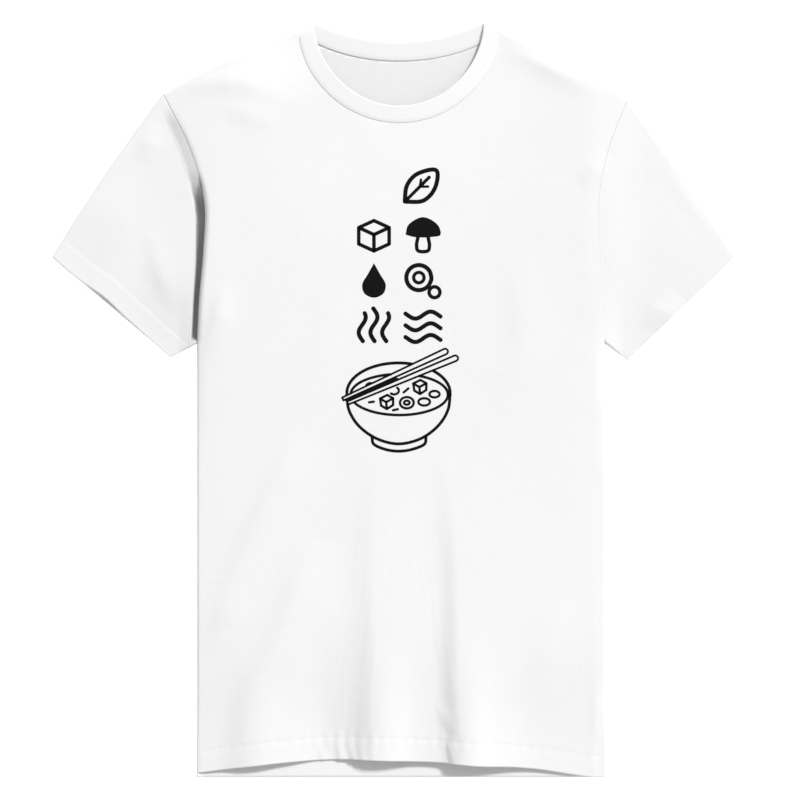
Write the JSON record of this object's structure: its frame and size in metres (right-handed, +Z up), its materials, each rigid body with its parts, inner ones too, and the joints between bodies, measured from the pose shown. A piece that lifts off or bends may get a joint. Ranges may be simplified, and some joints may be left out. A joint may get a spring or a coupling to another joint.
{
  "type": "crew-neck T-shirt",
  "caption": "White short-sleeved crew-neck T-shirt with a black food print on its chest, lying on its back with the front up.",
  "frame": {"origin": "on the floor, under the middle of the shirt's bounding box", "axes": "+X to the right for someone who looks down on the front, +Y from the hem to the collar, +Z up, out of the front"},
  "size_m": [0.6566, 0.7247, 0.0218],
  "materials": {
    "body_front_jersey": "white cotton jersey, matte",
    "body_back_jersey": "white cotton jersey, matte",
    "sleeve_left_jersey": "white cotton jersey, matte",
    "sleeve_right_jersey": "white cotton jersey, matte",
    "neckband_rib": "white cotton rib, matte"
  },
  "bodies": {
    "root": {"body_front": "body_front_jersey", "body_back": "body_back_jersey", "sleeve_left": "sleeve_left_jersey", "sleeve_right": "sleeve_right_jersey", "neckband": "neckband_rib"}
  },
  "joints": []
}
